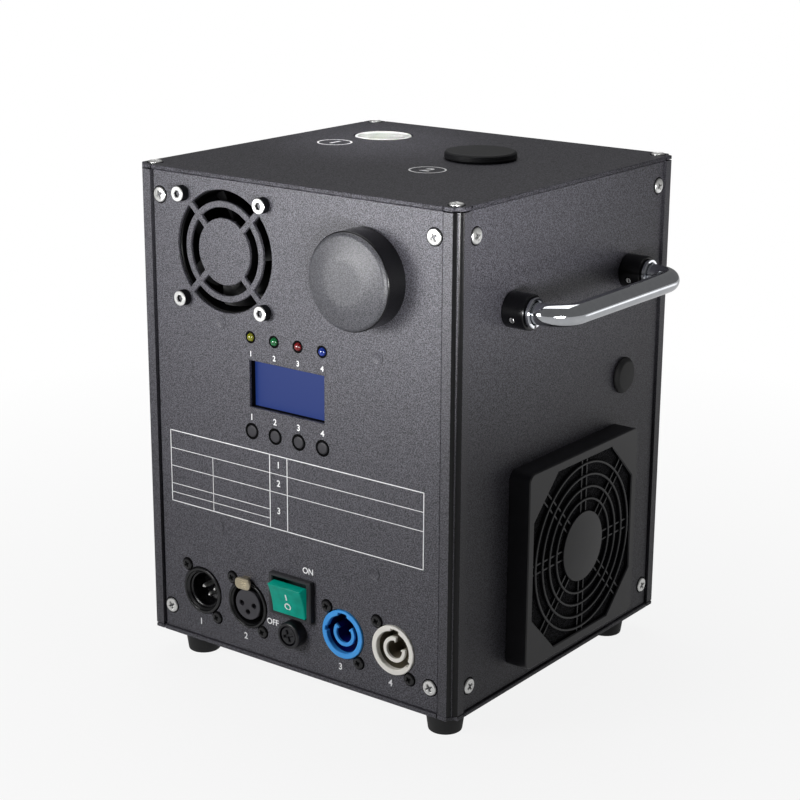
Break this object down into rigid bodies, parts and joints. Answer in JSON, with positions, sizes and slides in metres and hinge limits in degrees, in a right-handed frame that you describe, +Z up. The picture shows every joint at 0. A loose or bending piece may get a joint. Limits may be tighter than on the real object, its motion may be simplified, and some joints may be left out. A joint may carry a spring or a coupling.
{
  "type": "cold spark machine",
  "caption": "Upright box-shaped stage effects machine: top nozzle and filler cap, front keys, screen, fan grille and sockets, side handle and filtered fan.",
  "frame": {"origin": "on the floor under the middle of the whole machine, its box's bottom centre", "axes": "+Z up; -Y out of the control panel; +X towards the side with the handle"},
  "size_m": [0.2203, 0.1988, 0.255],
  "materials": {
    "powder_coat": "fine-grain black powder coat",
    "panel_coat": "fine-grain black powder coat",
    "post_coat": "black powder coat on extruded aluminium",
    "black_rubber": "matte",
    "chrome": "polished",
    "nickel": "bright plated",
    "zinc": "satin",
    "steel": "satin",
    "sleeve": "satin",
    "black_plastic": "moulded, matte",
    "knob_plastic": "moulded, fine grain",
    "foam": "open foam",
    "circuit": "solder-resist green",
    "nozzle_metal": "pale satin metal",
    "clear_glass": "clear",
    "screen": "blue screen",
    "socket_blue": "moulded",
    "socket_grey": "moulded",
    "switch_green": "translucent moulded",
    "lamp_yellow": "translucent dome",
    "lamp_green": "translucent dome",
    "lamp_red": "translucent dome",
    "lamp_blue": "translucent dome"
  },
  "bodies": {
    "housing": {"bottom_plate": "powder_coat", "top_cover": "powder_coat", "corner_post_front_left": "post_coat", "corner_post_front_right": "post_coat", "corner_post_rear_right": "post_coat", "corner_post_rear_left": "post_coat", "front_panel": "panel_coat", "right_panel": "panel_coat", "rear_panel": "panel_coat", "left_panel": "panel_coat", "foot_front_left": "black_rubber", "foot_front_right": "black_rubber", "foot_rear_right": "black_rubber", "foot_rear_left": "black_rubber", "handle_bar": "chrome", "handle_collar_front": "black_plastic", "handle_collar_rear": "black_plastic", "side_plug": "black_rubber", "fan_cover": "black_plastic", "fan_cover_wall": "black_plastic", "filter_foam": "foam", "side_fan_frame": "black_plastic", "front_fan_frame": "black_plastic", "clean_out_port": "steel", "lcd_module": "screen", "control_board": "circuit", "xlr_inlet": "black_plastic", "xlr_outlet": "black_plastic", "power_inlet": "socket_blue", "power_outlet": "socket_grey", "switch_housing": "black_plastic", "fuse_holder": "black_plastic", "nozzle_cup": "nozzle_metal", "hopper": "zinc", "feed_tube": "steel", "feed_motor": "zinc", "heater_chamber": "sleeve", "power_supply": "zinc", "fan_bolt_1": "nickel", "fan_bolt_2": "nickel", "fan_bolt_3": "nickel", "fan_bolt_4": "nickel", "status_led_1": "lamp_yellow", "status_led_2": "lamp_green", "status_led_3": "lamp_red", "status_led_4": "lamp_blue"},
    "side_fan": {"side_fan_rotor": "black_plastic"},
    "front_fan": {"front_fan_rotor": "black_plastic"},
    "feeder": {"feed_screw": "steel"},
    "rocker": {"switch_rocker": "switch_green"},
    "latch": {"xlr_latch": "nickel"},
    "filler_cap": {"powder_cap": "black_plastic"},
    "clean_out_plug": {"clean_out_plug": "black_rubber"},
    "clean_out_knob": {"clean_out_cap": "knob_plastic"},
    "fuse": {"fuse_link": "clear_glass"},
    "fuse_cap": {"fuse_cap": "black_plastic"},
    "menu_button_1": {"menu_button_1": "black_plastic"},
    "menu_button_2": {"menu_button_2": "black_plastic"},
    "menu_button_3": {"menu_button_3": "black_plastic"},
    "menu_button_4": {"menu_button_4": "black_plastic"}
  },
  "joints": [
    {"name": "side_fan_spin", "type": "hinge", "parent": "housing", "child": "side_fan", "pos_m": [0.06565, 0.0079, 0.0757], "axis": [1, 0, 0], "continuous": true},
    {"name": "front_fan_spin", "type": "hinge", "parent": "housing", "child": "front_fan", "pos_m": [-0.05655, -0.0714, 0.2146], "axis": [0, -1, 0], "continuous": true},
    {"name": "feed_spin", "type": "hinge", "parent": "housing", "child": "feeder", "pos_m": [0.01085, 0.0282, 0.1545], "axis": [-0.9402, 0.3405, 0], "continuous": true},
    {"name": "menu_button_1_press", "type": "slide", "parent": "housing", "child": "menu_button_1", "axis": [0, 1, 0], "range_m": [0, 0.0005], "stiffness_N_per_m": 300},
    {"name": "menu_button_2_press", "type": "slide", "parent": "housing", "child": "menu_button_2", "axis": [0, 1, 0], "range_m": [0, 0.0005], "stiffness_N_per_m": 300},
    {"name": "menu_button_3_press", "type": "slide", "parent": "housing", "child": "menu_button_3", "axis": [0, 1, 0], "range_m": [0, 0.0005], "stiffness_N_per_m": 300},
    {"name": "menu_button_4_press", "type": "slide", "parent": "housing", "child": "menu_button_4", "axis": [0, 1, 0], "range_m": [0, 0.0005], "stiffness_N_per_m": 300},
    {"name": "rocker_tilt", "type": "hinge", "parent": "housing", "child": "rocker", "pos_m": [-0.01675, -0.0841, 0.0528], "axis": [-1, 0, 0], "range_deg": [0, 30]},
    {"name": "latch_press", "type": "slide", "parent": "housing", "child": "latch", "axis": [0, 1, 0], "range_m": [0, 0.0015], "stiffness_N_per_m": 300},
    {"name": "filler_cap_lift", "type": "slide", "parent": "housing", "child": "filler_cap", "axis": [0, 0, 1], "range_m": [0, 0.025]},
    {"name": "clean_out_pull", "type": "slide", "parent": "housing", "child": "clean_out_plug", "axis": [0, -1, 0], "range_m": [0, 0.025]},
    {"name": "clean_out_turn", "type": "hinge", "parent": "clean_out_plug", "child": "clean_out_knob", "pos_m": [0.02755, -0.0904, 0.2146], "axis": [0, -1, 0], "range_deg": [0, 90]},
    {"name": "fuse_pull", "type": "slide", "parent": "housing", "child": "fuse", "axis": [0, -1, 0], "range_m": [0, 0.03]},
    {"name": "fuse_twist", "type": "hinge", "parent": "fuse", "child": "fuse_cap", "pos_m": [-0.01515, -0.0864, 0.0348], "axis": [0, -1, 0], "range_deg": [0, 60]}
  ]
}
